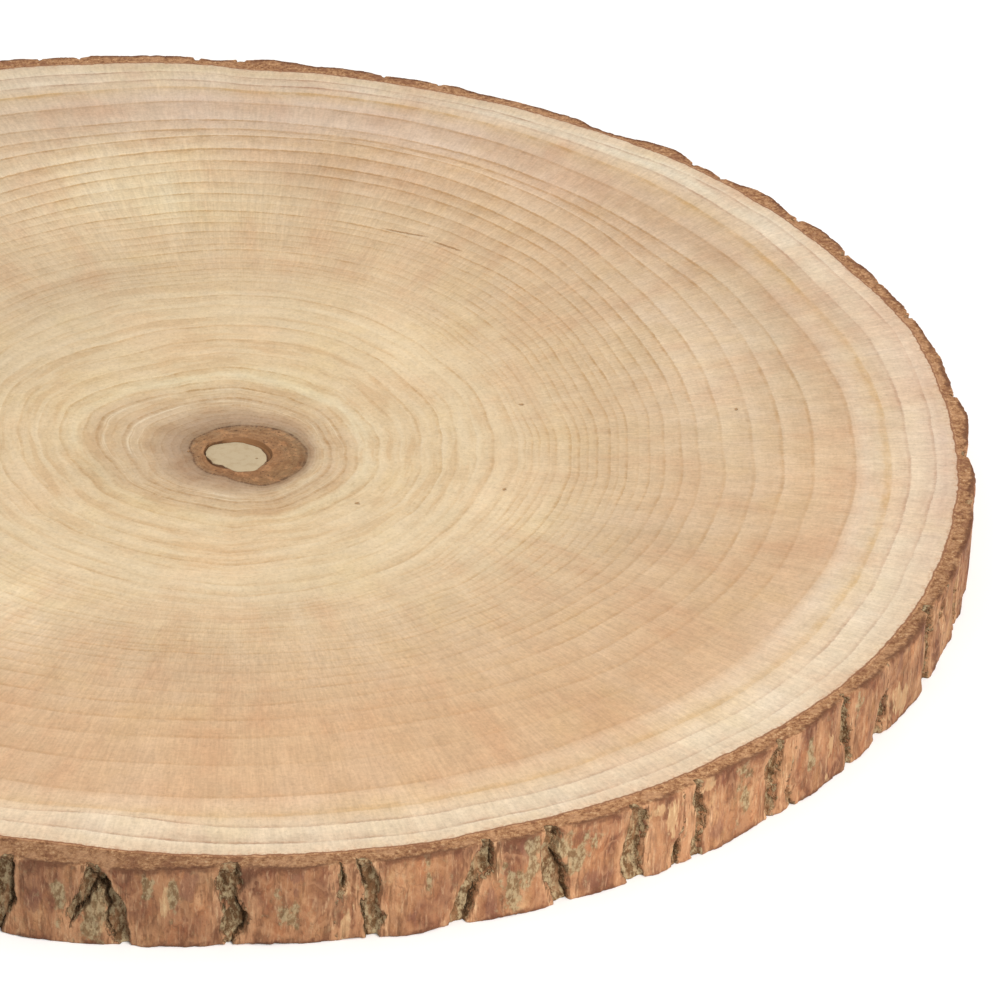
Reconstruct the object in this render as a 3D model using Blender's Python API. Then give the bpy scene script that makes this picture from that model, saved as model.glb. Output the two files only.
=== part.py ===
"""Wood slice: one cross-cut of a trunk, flat on both sawn faces, with its bark still on.

It grew as one piece, so it is one solid. The wood has a nearly round outline. The bark around it
is 5 to 6 mm thick, in plates, with furrows between them that run from face to face. In both faces
the soft pith has dried back into a shallow hollow, well off the middle of the slice.

Angles run counter-clockwise from +X, seen from above. The origin is the middle of the underside.
"""

import math
import random
from collections import namedtuple

import bmesh
import bpy

MM = 0.001
DEGREE = math.pi / 180

THICKNESS = 18 * MM
MEAN_RADIUS = 174 * MM

# The wood's radius under the bark, and the bark's thickness, every 30 degrees.
WOOD_RADII_MM = (168.0, 166.8, 168.0, 171.3, 174.0, 171.0, 168.5, 168.0, 166.3, 168.3, 171.7, 171.4)
BARK_THICKNESSES_MM = (4.5, 5.4, 4.6, 5.5, 6.2, 5.8, 5.4, 6.0, 5.7, 6.3, 5.7, 4.7)

# A worn place, where the bark is rubbed down: its angle, half its width along the rim, its depth.
WORN_ANGLE = 53 * DEGREE
WORN_HALF_WIDTH = 12 * MM
WORN_DEPTH = 2.2 * MM

EDGE_EASE = 0.6 * MM
FURROW_END_SHARE = 0.5
FURROW_END_RUN = 3 * MM
FURROW_SWAY = 0.7 * MM
SHOULDER_DEPTH = 0.8 * MM
SHOULDER_WIDTH = 4.5 * MM
SWELL_HEIGHT = 0.16 * MM
# The most that a swelling's phase shifts with height, in radians per metre.
SWELL_DRIFT = 90.0

PITH_CENTRE = (12.7 * MM, -17.6 * MM)
PITH_RADIUS = 6.8 * MM
PITH_DEPTH = 1.2 * MM
PITH_SIDES = 24
# What pulls the pith out of round: waves around it, each wave's share of the radius, and its phase.
PITH_PULLS = ((2, 0.06, -0.9), (3, 0.05, 1.2))

COLUMNS = 640
ROW_HEIGHTS_MM = (0.6, 4.0, 7.3, 10.7, 14.0, 17.4)

WOOD_COLOUR = (0.80, 0.61, 0.40, 1.0)
WOOD_ROUGHNESS = 0.62

Furrow = namedtuple("Furrow", "angle lean half_width depth low high sway_phase")

# Angle in degrees, then in mm: how far the top end leans counter-clockwise of the bottom end, half the
# width, the depth, and the heights where the furrow starts and stops.
KNOWN_FURROWS = (
    (-96.4, 5.5, 1.8, 2.4, 3, 18),
    (-94.5, -6.7, 2.0, 2.8, 0, 18),
    (-86.7, 0.3, 3.0, 2.6, 0, 18),
    (-80.0, 0.0, 1.2, 1.2, 10, 18),
    (-77.9, -2.5, 2.2, 2.4, 0, 18),
    (-71.2, 5.0, 2.4, 2.6, 0, 18),
    (-65.6, -3.0, 2.2, 2.8, 0, 18),
    (-59.8, -2.0, 2.3, 2.6, 0, 18),
    (-56.4, 0.5, 1.1, 1.5, 0, 8),
    (-54.7, 0.0, 1.8, 2.6, 0, 18),
    (-48.0, 2.0, 1.9, 2.4, 0, 18),
    (-46.4, -0.5, 1.1, 1.4, 0, 7),
    (-40.1, -2.0, 1.6, 2.4, 0, 18),
    (-35.3, 1.0, 2.0, 2.4, 0, 12),
    (-27.6, 1.0, 2.0, 3.0, 0, 18),
    (-24.3, 0.0, 1.2, 1.6, 8, 17),
    (-20.4, -1.5, 1.5, 2.2, 0, 16),
    (-13.0, 1.5, 1.8, 2.4, 0, 18),
    (-5.5, -2.0, 1.9, 2.3, 0, 18),
    (2.8, 0.5, 1.8, 2.2, 0, 18),
    (9.0, -1.0, 1.4, 1.5, 0, 13),
    (15.0, 1.0, 1.9, 2.4, 0, 18),
    (20.5, 0.0, 1.4, 1.6, 4, 18),
    (25.7, -1.5, 2.0, 2.4, 0, 18),
    (32.0, 1.0, 2.2, 3.4, 0, 18),
    (37.5, 0.5, 1.4, 1.4, 0, 14),
    (41.3, -1.0, 1.8, 2.6, 0, 18),
    (44.0, 1.0, 1.6, 2.2, 0, 18),
    (61.0, 2.0, 1.6, 1.6, 0, 16),
    (69.0, -1.5, 1.5, 1.8, 0, 18),
    (73.2, 0.5, 1.7, 2.2, 0, 18),
    (84.8, 2.0, 2.2, 3.0, 0, 18),
    (88.6, -0.5, 1.8, 3.2, 0, 18),
    (98.0, 1.0, 1.6, 1.8, 0, 18),
    (101.3, -1.0, 1.4, 1.8, 0, 18),
)

# Beyond the known ones, furrows follow a rule: a random step along the rim, and random shapes. Each
# pair of numbers is the least and the most, in degrees or mm.
RULE_START = 106 * DEGREE
RULE_STOP = 260 * DEGREE
SHORT_SHARE = 0.3
SHORT_LENGTH = 11
SHORT_LOWS = (0, 6)
SHORT_HALF_WIDTHS = (1.1, 1.7)
SHORT_DEPTHS = (1.2, 1.8)
SHORT_STEPS = (2.8, 4.2)
FULL_LENGTH = 18
FULL_HALF_WIDTHS = (1.6, 2.7)
FULL_DEPTHS = (2.1, 3.1)
FULL_STEPS = (5.0, 8.6)
LEAN_SPREAD = 2.2
FURROW_SEED = 11
SWELL_SEED = 5
SWELL_WAVES = (17, 23, 31, 38, 47)


def around(values, angle):
    """The value at an angle on a smooth closed curve through evenly spaced values (Catmull-Rom)."""
    count = len(values)
    place = (angle / (2 * math.pi) % 1) * count
    k = int(place)
    t = place - k
    a, b, c, d = (values[(k + step) % count] for step in (-1, 0, 1, 2))
    return b + 0.5 * t * (c - a + t * (2 * a - 5 * b + 4 * c - d + t * (3 * (b - c) + d - a)))


def smooth(t):
    """A smooth step from 0 at t = 0 to 1 at t = 1."""
    t = min(max(t, 0.0), 1.0)
    return t * t * (3 - 2 * t)


def angle_between(a, b):
    """The turn from b to a, between minus and plus half a circle."""
    return (a - b + math.pi) % (2 * math.pi) - math.pi


def all_furrows():
    """The known furrows, and those that the rule places on the rest of the rim."""
    draw = random.Random(FURROW_SEED)
    furrows = []
    for angle, lean, half_width, depth, low, high in KNOWN_FURROWS:
        phase = draw.uniform(0, 2 * math.pi)
        sizes = (size * MM for size in (lean, half_width, depth, low, high))
        furrows.append(Furrow(angle * DEGREE, *sizes, phase))
    angle = RULE_START
    while angle < RULE_STOP:
        short = draw.random() < SHORT_SHARE
        low = draw.choice(SHORT_LOWS) if short else 0
        high = low + (SHORT_LENGTH if short else FULL_LENGTH)
        half_width = draw.uniform(*(SHORT_HALF_WIDTHS if short else FULL_HALF_WIDTHS))
        depth = draw.uniform(*(SHORT_DEPTHS if short else FULL_DEPTHS))
        sizes = (size * MM for size in (draw.gauss(0, LEAN_SPREAD), half_width, depth, low, high))
        furrows.append(Furrow(angle, *sizes, draw.uniform(0, 2 * math.pi)))
        angle += draw.uniform(*(SHORT_STEPS if short else FULL_STEPS)) * DEGREE
    return furrows


def all_swells():
    """Slow swellings of the bark plates, as waves around the rim: each a number, a phase and a drift."""
    draw = random.Random(SWELL_SEED)
    swells = []
    for waves in SWELL_WAVES:
        phase = draw.uniform(0, 2 * math.pi)
        swells.append((waves, phase, draw.uniform(-SWELL_DRIFT, SWELL_DRIFT)))
    return swells


FURROWS = all_furrows()
SWELLS = all_swells()


def furrow_cut(furrow, angle, z):
    """How deep one furrow cuts at a place on the rim: a rounded groove with sloping shoulders beside it.

    It follows a line that leans and sways on its way up the rim, and it is shallower at its two ends.
    """
    sway = FURROW_SWAY * math.sin(2 * math.pi * z / THICKNESS + furrow.sway_phase)
    centre = furrow.angle + (furrow.lean * (z / THICKNESS - 0.5) + sway) / MEAN_RADIUS
    distance = abs(angle_between(angle, centre)) * MEAN_RADIUS
    if distance >= furrow.half_width + SHOULDER_WIDTH:
        return 0.0
    share = 1.0
    for end, run in ((z - furrow.low, furrow.low), (furrow.high - z, THICKNESS - furrow.high)):
        at_face = run == 0
        start = FURROW_END_SHARE if at_face else 0.0
        share *= start + (1 - start) * smooth(end / FURROW_END_RUN)
    groove = 1 - min(distance / furrow.half_width, 1) ** 2
    shoulder = smooth(1 - distance / (furrow.half_width + SHOULDER_WIDTH))
    return share * (furrow.depth * groove + SHOULDER_DEPTH * shoulder)


def rim_radius(angle, z):
    """The bark's outer radius at an angle and height.

    It is the wood's radius, the bark's thickness and its swellings, less the worn place, the deepest
    furrow there and the eased edge.
    """
    radius = (around(WOOD_RADII_MM, angle) + around(BARK_THICKNESSES_MM, angle)) * MM
    for waves, phase, drift in SWELLS:
        radius += SWELL_HEIGHT * math.cos(waves * angle + phase + drift * z)
    worn = 1 - abs(angle_between(angle, WORN_ANGLE)) * MEAN_RADIUS / WORN_HALF_WIDTH
    radius -= WORN_DEPTH * smooth(worn)
    radius -= max(furrow_cut(furrow, angle, z) for furrow in FURROWS)
    edge = min(z, THICKNESS - z)
    return radius - max(EDGE_EASE - edge, 0)


def pith_radius(angle):
    """The pith's radius about its own centre: a circle pulled into a slightly irregular oval."""
    pull = sum(share * math.cos(waves * angle + phase) for waves, share, phase in PITH_PULLS)
    return PITH_RADIUS * (1 + pull)


def new_object(name, bm, collection):
    """An object with this mesh, in this collection."""
    bmesh.ops.recalc_face_normals(bm, faces=bm.faces)
    mesh = bpy.data.meshes.new(name)
    bm.to_mesh(mesh)
    bm.free()
    made = bpy.data.objects.new(name, mesh)
    collection.objects.link(made)
    return made


def new_collection(name):
    made = bpy.data.collections.new(name)
    bpy.context.scene.collection.children.link(made)
    return made


def wood_material():
    """Pale bare wood, sanded and unvarnished."""
    material = bpy.data.materials.new("wood")
    material.use_nodes = True
    shader = material.node_tree.nodes["Principled BSDF"]
    shader.inputs["Base Color"].default_value = WOOD_COLOUR
    shader.inputs["Roughness"].default_value = WOOD_ROUGHNESS
    shader.inputs["Metallic"].default_value = 0.0
    material.diffuse_color = WOOD_COLOUR
    return material


def slice_mesh():
    """A cylinder cut into rows, with each point of its wall moved out or in to the bark's surface."""
    bm = bmesh.new()
    bmesh.ops.create_cone(
        bm,
        cap_ends=True,
        cap_tris=True,
        segments=COLUMNS,
        radius1=MEAN_RADIUS,
        radius2=MEAN_RADIUS,
        depth=THICKNESS,
    )
    bmesh.ops.translate(bm, verts=bm.verts, vec=(0, 0, THICKNESS / 2))
    for height in ROW_HEIGHTS_MM:
        everything = bm.verts[:] + bm.edges[:] + bm.faces[:]
        bmesh.ops.bisect_plane(bm, geom=everything, plane_co=(0, 0, height * MM), plane_no=(0, 0, 1))
    on_wall = [v for v in bm.verts if math.hypot(v.co.x, v.co.y) > MEAN_RADIUS / 2]
    for v in on_wall:
        angle = math.atan2(v.co.y, v.co.x)
        radius = rim_radius(angle, v.co.z)
        v.co.x = radius * math.cos(angle)
        v.co.y = radius * math.sin(angle)
    return bm


def pith_cutter(name, z, collection):
    """A short oval plug for cutting the pith's hollow into the face at this height."""
    bm = bmesh.new()
    bmesh.ops.create_cone(
        bm,
        cap_ends=True,
        segments=PITH_SIDES,
        radius1=PITH_RADIUS,
        radius2=PITH_RADIUS,
        depth=2 * PITH_DEPTH,
    )
    for v in bm.verts:
        angle = math.atan2(v.co.y, v.co.x)
        v.co.x = pith_radius(angle) * math.cos(angle)
        v.co.y = pith_radius(angle) * math.sin(angle)
    cutter = new_object(name, bm, collection)
    cutter.location = (*PITH_CENTRE, z)
    cutter.hide_render = True
    cutter.display_type = "WIRE"
    return cutter


def cut(target, cutter):
    """Takes the cutter's shape out of the target."""
    modifier = target.modifiers.new(cutter.name, "BOOLEAN")
    modifier.operation = "DIFFERENCE"
    modifier.solver = "EXACT"
    modifier.object = cutter


def centred(made):
    """Where to put the object so that the middle of its own box lies on the Z axis."""
    xs = [v.co.x for v in made.data.vertices]
    ys = [v.co.y for v in made.data.vertices]
    return -(min(xs) + max(xs)) / 2, -(min(ys) + max(ys)) / 2, 0.0


def build():
    for old in list(bpy.data.objects):
        bpy.data.objects.remove(old)
    parts = new_collection("wood slice")
    cutters = new_collection("cutters")
    wood_slice = new_object("wood_slice", slice_mesh(), parts)
    wood_slice.data.materials.append(wood_material())
    wood_slice.data.shade_smooth()
    wood_slice.data.set_sharp_from_angle(angle=35 * DEGREE)
    wood_slice.location = centred(wood_slice)
    for name, z in (("pith_cutter_top", THICKNESS), ("pith_cutter_underside", 0.0)):
        cutter = pith_cutter(name, z, cutters)
        cutter.parent = wood_slice
        cut(wood_slice, cutter)


build()
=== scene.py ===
# %% [markdown]
# # A slice of a tree trunk
#
# The real thing is one cross-cut of a trunk, about 35 cm across and 18 mm thick, sawn and sanded flat
# on both faces, with the bark left on. It grew as one piece. Here it is dressed as a disc of wood
# inside a ring of bark, because the two have nothing in common in shape or finish: the wood is flat
# and all drawing, the bark is all relief. Lengths in this script are in mm until they enter a mesh.

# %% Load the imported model
import math
import random
from collections import namedtuple
from functools import cached_property

import bpy
import numpy as np
from mathutils import Matrix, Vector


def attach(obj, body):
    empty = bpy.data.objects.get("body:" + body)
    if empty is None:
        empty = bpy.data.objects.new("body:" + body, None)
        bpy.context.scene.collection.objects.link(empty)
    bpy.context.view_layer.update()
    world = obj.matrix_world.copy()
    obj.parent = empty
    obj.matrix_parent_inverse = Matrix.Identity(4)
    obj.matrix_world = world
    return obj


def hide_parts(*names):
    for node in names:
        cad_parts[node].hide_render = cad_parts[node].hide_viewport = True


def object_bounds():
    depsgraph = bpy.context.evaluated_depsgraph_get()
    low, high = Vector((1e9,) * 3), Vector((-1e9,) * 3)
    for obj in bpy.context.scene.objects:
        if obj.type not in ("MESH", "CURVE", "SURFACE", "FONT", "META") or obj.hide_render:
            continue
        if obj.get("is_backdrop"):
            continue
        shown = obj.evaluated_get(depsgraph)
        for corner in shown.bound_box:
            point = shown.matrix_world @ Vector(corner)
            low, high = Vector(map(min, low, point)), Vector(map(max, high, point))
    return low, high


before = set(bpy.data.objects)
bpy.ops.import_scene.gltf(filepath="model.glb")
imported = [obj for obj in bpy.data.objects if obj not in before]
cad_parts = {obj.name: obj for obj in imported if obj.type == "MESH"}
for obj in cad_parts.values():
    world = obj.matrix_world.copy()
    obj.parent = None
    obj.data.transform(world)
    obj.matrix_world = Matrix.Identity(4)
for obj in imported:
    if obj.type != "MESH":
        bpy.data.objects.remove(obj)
cad_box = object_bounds()
MM = 0.001
DEGREE = math.pi / 180
TURN = 2 * math.pi
print("CAD box", [list(corner) for corner in cad_box])

# %% [markdown]
# ## The form that the solid already has
#
# A finer surface has to keep the form of the solid that it stands for. Points could be read from the
# solid, but it has only facets. So its formulas are repeated here, for whole arrays at once: a closed
# curve through evenly spaced radii for the wood, another for the thickness of the bark.

# %% Driving sizes and small helpers
THICKNESS = 18.0
MEAN_RADIUS = 174.0
WOOD_RADII = (168.0, 166.8, 168.0, 171.3, 174.0, 171.0, 168.5, 168.0, 166.3, 168.3, 171.7, 171.4)
BARK_THICKNESSES = (4.5, 5.4, 4.6, 5.5, 6.2, 5.8, 5.4, 6.0, 5.7, 6.3, 5.7, 4.7)


def around(values, angle):
    """A smooth closed curve through evenly spaced values: each stretch is the cubic that leaves one
    value in the direction of its two neighbours and arrives at the next in the same way."""
    values = np.asarray(values, float)
    count = len(values)
    place = (angle / TURN % 1) * count
    k = np.floor(place).astype(int)
    t = place - k
    a, b, c, d = (values[(k + step) % count] for step in (-1, 0, 1, 2))
    return b + 0.5 * t * (c - a + t * (2 * a - 5 * b + 4 * c - d + t * (3 * (b - c) + d - a)))


def smooth(t):
    """A smooth step from 0 at t = 0 to 1 at t = 1."""
    t = np.clip(t, 0, 1)
    return t * t * (3 - 2 * t)


def angle_between(a, b):
    """The turn from b to a, between minus and plus half a circle."""
    return (a - b + math.pi) % TURN - math.pi


def bump(angle, middle, half_width):
    """A bell over an angle, 1 in its middle and a half at half_width to each side, in degrees."""
    turn = angle_between(angle, middle * DEGREE) / (half_width * DEGREE)
    return 0.5 ** (turn * turn)


def bells(angle, table):
    """A sum of bells, from rows of their middle and half width in degrees, and their height."""
    return sum(size * bump(angle, middle, half_width) for middle, half_width, size in table)


# %% [markdown]
# ## Furrows in the bark
#
# A trunk grows from the inside, so its bark tears into plates with furrows between them, which run up
# the trunk: across the rim of a slice. The furrows in sight are placed one by one. The others follow a
# rule with a seeded draw, the same as in the solid, so that both have the same furrows.

# %% Where the furrows are
FURROW_SWAY = 0.7
SHOULDER_DEPTH = 0.8
SHOULDER_WIDTH = 4.5
FURROW_END_SHARE = 0.5
FURROW_END_RUN = 3.0
# Angle in degrees, then in mm: how far the top end leans counter-clockwise of the bottom end, half the
# width, the depth and, for a furrow that doesn't run from face to face, the heights of its two ends.
KNOWN_FURROWS = (
    (-96.4, 5.5, 1.8, 2.4, 3, 18), (-94.5, -6.7, 2.0, 2.8), (-86.7, 0.3, 3.0, 2.6),
    (-80.0, 0.0, 1.2, 1.2, 10, 18), (-77.9, -2.5, 2.2, 2.4), (-71.2, 5.0, 2.4, 2.6),
    (-65.6, -3.0, 2.2, 2.8), (-59.8, -2.0, 2.3, 2.6), (-56.4, 0.5, 1.1, 1.5, 0, 8),
    (-54.7, 0.0, 1.8, 2.6), (-48.0, 2.0, 1.9, 2.4), (-46.4, -0.5, 1.1, 1.4, 0, 7),
    (-40.1, -2.0, 1.6, 2.4), (-35.3, 1.0, 2.0, 2.4, 0, 12), (-27.6, 1.0, 2.0, 3.0),
    (-24.3, 0.0, 1.2, 1.6, 8, 17), (-20.4, -1.5, 1.5, 2.2, 0, 16), (-13.0, 1.5, 1.8, 2.4),
    (-5.5, -2.0, 1.9, 2.3), (2.8, 0.5, 1.8, 2.2), (9.0, -1.0, 1.4, 1.5, 0, 13), (15.0, 1.0, 1.9, 2.4),
    (20.5, 0.0, 1.4, 1.6, 4, 18), (25.7, -1.5, 2.0, 2.4), (32.0, 1.0, 2.2, 3.4),
    (37.5, 0.5, 1.4, 1.4, 0, 14), (41.3, -1.0, 1.8, 2.6), (44.0, 1.0, 1.6, 2.2),
    (61.0, 2.0, 1.6, 1.6, 0, 16), (69.0, -1.5, 1.5, 1.8), (73.2, 0.5, 1.7, 2.2), (84.8, 2.0, 2.2, 3.0),
    (88.6, -0.5, 1.8, 3.2), (98.0, 1.0, 1.6, 1.8), (101.3, -1.0, 1.4, 1.8),
)
RULE_START = 106 * DEGREE
RULE_STOP = 260 * DEGREE
SHORT_SHARE = 0.3
SHORT_LOWS = (0, 6)
LEAN_SPREAD = 2.2
FURROW_SEED = 11

Kind = namedtuple("Kind", "length half_widths depths steps")
SHORT = Kind(11, (1.1, 1.7), (1.2, 1.8), (2.8, 4.2))
FULL = Kind(THICKNESS, (1.6, 2.7), (2.1, 3.1), (5.0, 8.6))
Furrow = namedtuple("Furrow", "angle lean half_width depth sway_phase low high", defaults=(0, THICKNESS))


def all_furrows():
    """The known furrows, and those that the rule places on the rest of the rim."""
    draw = random.Random(FURROW_SEED)
    furrows = []
    for angle, lean, half_width, depth, *ends in KNOWN_FURROWS:
        furrows.append(Furrow(angle * DEGREE, lean, half_width, depth, draw.uniform(0, TURN), *ends))
    angle = RULE_START
    while angle < RULE_STOP:
        kind = SHORT if draw.random() < SHORT_SHARE else FULL
        low = draw.choice(SHORT_LOWS) if kind is SHORT else 0
        half_width, depth = draw.uniform(*kind.half_widths), draw.uniform(*kind.depths)
        lean, phase = draw.gauss(0, LEAN_SPREAD), draw.uniform(0, TURN)
        furrows.append(Furrow(angle, lean, half_width, depth, phase, low, low + kind.length))
        angle += draw.uniform(*kind.steps) * DEGREE
    return furrows


FURROWS = all_furrows()
print(len(FURROWS), "furrows")


# %% The rim of the solid, as a formula
WORN_ANGLE = 53 * DEGREE
WORN_HALF_WIDTH = 12.0
WORN_DEPTH = 2.2
SWELL_HEIGHT = 0.16
SWELL_DRIFT = 0.09
SWELL_SEED = 5
SWELL_WAVES = (17, 23, 31, 38, 47)
EDGE_EASE = 0.6


def wood_radius(angle):
    """The wood's outline under the bark."""
    return around(WOOD_RADII, angle)


def full_rim(angle, z):
    """The bark's outer radius without its furrows: the wood, the bark, slow swellings as cosine waves
    around the rim whose phase drifts with height, and the worn place."""
    radius = wood_radius(angle) + around(BARK_THICKNESSES, angle)
    draw = random.Random(SWELL_SEED)
    for waves in SWELL_WAVES:
        phase = draw.uniform(0, TURN)
        drift = draw.uniform(-SWELL_DRIFT, SWELL_DRIFT)
        radius = radius + SWELL_HEIGHT * np.cos(waves * angle + phase + drift * z)
    worn = 1 - np.abs(angle_between(angle, WORN_ANGLE)) * MEAN_RADIUS / WORN_HALF_WIDTH
    return radius - WORN_DEPTH * smooth(worn)


def end_share(furrow, z, at_lower, at_upper, run):
    """How much of a furrow is left near its two ends: it fades out where it stops inside the rim, and
    keeps the share at_lower or at_upper where it runs out at a sawn face."""
    lower = at_lower if furrow.low == 0 else 0.0
    upper = at_upper if furrow.high == THICKNESS else 0.0
    from_lower = lower + (1 - lower) * smooth((z - furrow.low) / run)
    return from_lower * (upper + (1 - upper) * smooth((furrow.high - z) / run))


def furrow_offset(furrow, angle, z):
    """The signed distance along the rim from a furrow's line, which leans and sways on its way up."""
    sway = FURROW_SWAY * np.sin(TURN * z / THICKNESS + furrow.sway_phase)
    centre = furrow.angle + (furrow.lean * (z / THICKNESS - 0.5) + sway) / MEAN_RADIUS
    return angle_between(angle, centre) * MEAN_RADIUS


def solid_cut(furrow, angle, z):
    """How deep a furrow cuts in the solid: a rounded groove with sloping shoulders."""
    distance = np.abs(furrow_offset(furrow, angle, z))
    groove = 1 - np.minimum(distance / furrow.half_width, 1) ** 2
    shoulder = smooth(1 - distance / (furrow.half_width + SHOULDER_WIDTH))
    share = end_share(furrow, z, FURROW_END_SHARE, FURROW_END_SHARE, FURROW_END_RUN)
    return share * (furrow.depth * groove + SHOULDER_DEPTH * shoulder)


# %% The middle of the slice
SOLID_COLUMNS = 640
SOLID_ROWS = (0.0, 0.6, 4.0, 7.3, 10.7, 14.0, 17.4, 18.0)


def centre_shift():
    """The solid's box is centred on the Z axis. This is the shift that centres it, worked out from
    the same points on the rim."""
    angle = (np.arange(SOLID_COLUMNS) * TURN / SOLID_COLUMNS)[None, :]
    z = np.array(SOLID_ROWS)[:, None]
    radius = full_rim(angle, z) - np.max([solid_cut(f, angle, z) for f in FURROWS], axis=0)
    radius = radius - np.maximum(EDGE_EASE - np.minimum(z, THICKNESS - z), 0)
    x = radius * np.cos(angle)
    y = radius * np.sin(angle)
    return -(x.min() + x.max()) / 2, -(y.min() + y.max()) / 2


SHIFT = centre_shift()
print("shift to the middle, mm:", [round(float(s), 3) for s in SHIFT])

# %% [markdown]
# ## Noise in numpy
#
# Grown things need irregularity at every scale. Blender's displacement textures could give it, but a
# formula here is one array operation and closes exactly around the rim. It is value noise: random
# numbers on a lattice, blended with a smooth step, and octaves of it added up.

# %% Noise that closes around the rim
RIM_LENGTH = TURN * MEAN_RADIUS


def rim_noise(angle, height, cell, tall, seed):
    """Smooth noise from -1 to 1 over the rim: random values on a lattice of cells, cell mm along the
    rim and cell times tall up it, blended with a smooth step. It closes after a full turn."""
    columns = round(RIM_LENGTH / cell)
    u = (angle / TURN % 1) * columns
    v = height / (cell * tall)
    v = v - v.min() + 1
    values = np.random.default_rng(seed).uniform(-1, 1, (int(v.max()) + 3, columns))
    i = np.floor(u).astype(int) % columns
    j = np.floor(v).astype(int)
    s = smooth(u - np.floor(u))
    t = smooth(v - j)
    low = values[j, i] * (1 - s) + values[j, (i + 1) % columns] * s
    high = values[j + 1, i] * (1 - s) + values[j + 1, (i + 1) % columns] * s
    return low * (1 - t) + high * t


def layered(angle, height, layers):
    """A sum of such noises, from rows of cell, tall, strength and seed."""
    return sum(size * rim_noise(angle, height, cell, tall, seed) for cell, tall, size, seed in layers)


# %% The wood's edge under the bark
# Direction and half its width in degrees, then how many mm the edge strays outwards.
WOOD_STRAYS = (
    (-101, 7.0, -2.2), (-78, 8.0, 0.7), (-55, 16.0, 0.1), (-17, 7.0, -0.5), (13, 5.0, 0.9),
    (43, 8.0, 1.2), (61, 3.0, 0.5), (75, 5.0, -0.8), (84, 3.5, -1.7), (99, 6.0, -0.1),
)
EDGE_WAVES = ((14.0, 1.0, 0.3, 51), (5.0, 1.0, 0.15, 52))


def wood_edge(angle):
    """The wood's real edge: the smooth outline, plus strays placed one by one, plus slow noise."""
    return wood_radius(angle) + bells(angle, WOOD_STRAYS) + layered(angle, 0 * angle, EDGE_WAVES)


# %% [markdown]
# ## The bark's cross-section, carried round the rim
#
# Bark can be sculpted, or displaced from a picture. Here its surface is a grid: one parameter goes
# round the rim, the other round the closed cross-section, which goes out over the lower face, up the
# rim, in over the upper face and down against the wood. The distance to the nearest furrow decides
# both the depth and, kept as an attribute, the finish, so shape and colour agree.

# %% Columns and rows of the bark's grid
BARK_PIECES = 3
BARK_COLUMNS = 4608
BAND_ROWS = 8
RIM_ROWS = 38
EDGE_HEIGHTS = (0.1, 0.28, 0.55)
BARK_SINK = 0.12

rim_heights = np.linspace(EDGE_HEIGHTS[-1], THICKNESS - EDGE_HEIGHTS[-1], RIM_ROWS)
edge_heights = np.array(EDGE_HEIGHTS[:-1])
rim_heights = np.concatenate([edge_heights, rim_heights, THICKNESS - edge_heights[::-1]])
bark_angle = (np.arange(BARK_COLUMNS) * TURN / BARK_COLUMNS)[None, :]
print("bark grid:", BARK_COLUMNS, "columns,", len(rim_heights), "rows on the rim")

# %% Furrows with torn edges
FLOOR_SHARE = 0.74
FLOOR_EDGE = 0.6
WALL_SHARE = 0.8
FLAKE_HEIGHT = 0.5
FLAKE_STEPS = 2.5
CRACK_HALF_WIDTH = 0.22
CRACK_DEPTH = 0.6
CRACK_INSET = 0.3
AT_LOWER_FACE = 0.75
AT_UPPER_FACE = 0.5
OPEN_END_RUN = 4.5
WIDTH_SPREAD = 0.45
FAR = 20.0
# Places where the floors are wider: direction and half its width in degrees, and by what share.
WIDE_FLOORS = (
    (-66.0, 1.5, 0.4), (-60.3, 1.5, 0.4), (-41.0, 1.5, 0.5), (-36.0, 1.5, 0.8), (-28.2, 2.0, 1.1),
    (-21.0, 2.0, 0.9),
)
# How far the torn edges of the furrows stray from their smooth lines: three sizes of noise.
TEARS = ((3.2, 2.4, 0.7, 21), (1.3, 2.6, 0.5, 22), (0.55, 2.4, 0.34, 23))


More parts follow.
